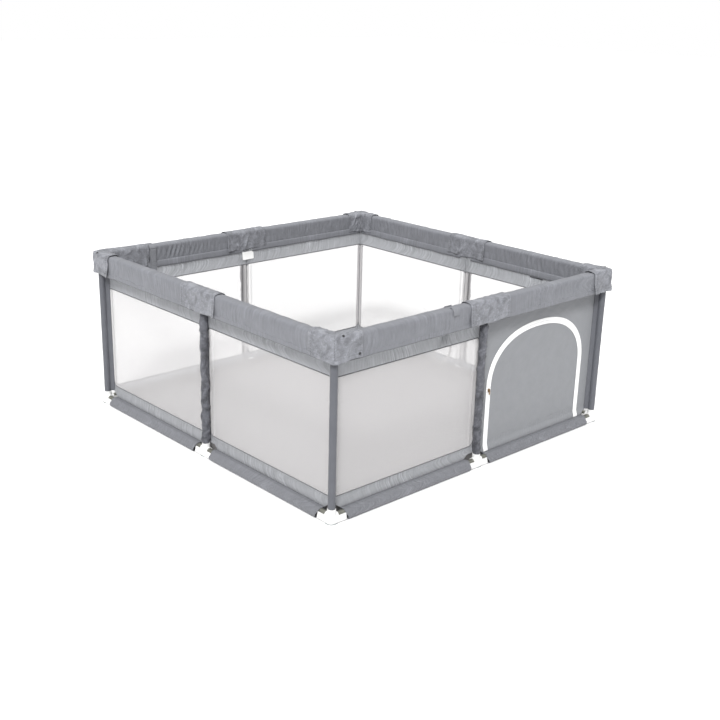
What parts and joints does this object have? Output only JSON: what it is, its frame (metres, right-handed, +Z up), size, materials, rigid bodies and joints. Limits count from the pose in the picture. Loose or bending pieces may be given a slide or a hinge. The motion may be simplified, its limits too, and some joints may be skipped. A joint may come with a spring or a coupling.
{
  "type": "playpen",
  "caption": "Square baby playpen with padded rails on a steel tube frame, net windows, an arched zip gate, suction-cup feet and pull-up rings inside.",
  "frame": {"origin": "on the floor under the middle of the square", "axes": "+Z up, -Y out of the gate side, +X to the right seen from the gate side"},
  "size_m": [1.492, 1.492, 0.66],
  "materials": {
    "white_plastic": "satin",
    "steel": "satin",
    "joint_plastic": "matte",
    "foam": "matte",
    "cup_rubber": "satin",
    "rail_fabric": "matte",
    "sleeve_fabric": "matte",
    "band_fabric": "matte",
    "gate_fabric": "matte",
    "floor_fabric": "matte",
    "net": "matte",
    "zip_tape": "matte",
    "zip_metal": "satin",
    "webbing": "matte",
    "ring_plastic": "gloss"
  },
  "bodies": {
    "playpen": {"corner_foot_front_left": "white_plastic", "corner_foot_front_right": "white_plastic", "corner_foot_back_right": "white_plastic", "corner_foot_back_left": "white_plastic", "mid_foot_front": "white_plastic", "mid_foot_right": "white_plastic", "mid_foot_back": "white_plastic", "mid_foot_left": "white_plastic", "suction_cups": "cup_rubber", "corner_post_front_left": "steel", "corner_post_front_right": "steel", "corner_post_back_right": "steel", "corner_post_back_left": "steel", "mid_post_front": "steel", "mid_post_right": "steel", "mid_post_back": "steel", "mid_post_left": "steel", "bottom_rails_front": "steel", "bottom_rails_right": "steel", "bottom_rails_back": "steel", "bottom_rails_left": "steel", "top_rails_front": "steel", "top_rails_right": "steel", "top_rails_back": "steel", "top_rails_left": "steel", "top_joints": "joint_plastic", "rail_foam": "foam", "rail_covers_front": "rail_fabric", "rail_covers_right": "rail_fabric", "rail_covers_back": "rail_fabric", "rail_covers_left": "rail_fabric", "corner_hood_front_left": "rail_fabric", "corner_hood_front_right": "rail_fabric", "corner_hood_back_right": "rail_fabric", "corner_hood_back_left": "rail_fabric", "mid_cuff_front": "rail_fabric", "mid_cuff_right": "rail_fabric", "mid_cuff_back": "rail_fabric", "mid_cuff_left": "rail_fabric", "post_sleeves": "sleeve_fabric", "bottom_sleeves": "sleeve_fabric", "floor_sheet": "floor_fabric", "wall_bands_front": "band_fabric", "wall_bands_right": "band_fabric", "wall_bands_back": "band_fabric", "wall_bands_left": "band_fabric", "net_windows_front": "net", "net_windows_right": "net", "net_windows_back": "net", "net_windows_left": "net", "gate_panel": "gate_fabric", "zip_tape_fixed": "zip_tape", "ring_straps": "webbing"},
    "gate_flap": {"gate_flap": "gate_fabric", "zip_tape_flap": "zip_tape"},
    "zip_slider": {"zip_slider": "zip_metal"},
    "zip_pull": {"zip_pull": "zip_metal"},
    "pull_ring_front": {"pull_ring_front": "ring_plastic"},
    "pull_ring_back": {"pull_ring_back": "ring_plastic"}
  },
  "joints": [
    {"name": "gate_flap_hinge", "type": "hinge", "parent": "playpen", "child": "gate_flap", "pos_m": [0.35, -0.695, 0.08], "axis": [-1, 0, 0], "range_deg": [0, 100]},
    {"name": "zip_slider_slide", "type": "slide", "parent": "playpen", "child": "zip_slider", "axis": [0, 0, 1], "range_m": [-0.185, 0.02]},
    {"name": "zip_pull_hinge", "type": "hinge", "parent": "zip_slider", "child": "zip_pull", "pos_m": [0.07, -0.7037, 0.2766], "axis": [-1, 0, 0], "range_deg": [0, 120]},
    {"name": "pull_ring_front_swing", "type": "hinge", "parent": "playpen", "child": "pull_ring_front", "pos_m": [-0.182, -0.6845, 0.524], "axis": [1, 0, 0], "range_deg": [0, 100]},
    {"name": "pull_ring_back_swing", "type": "hinge", "parent": "playpen", "child": "pull_ring_back", "pos_m": [-0.488, 0.6845, 0.524], "axis": [-1, 0, 0], "range_deg": [0, 100]}
  ]
}
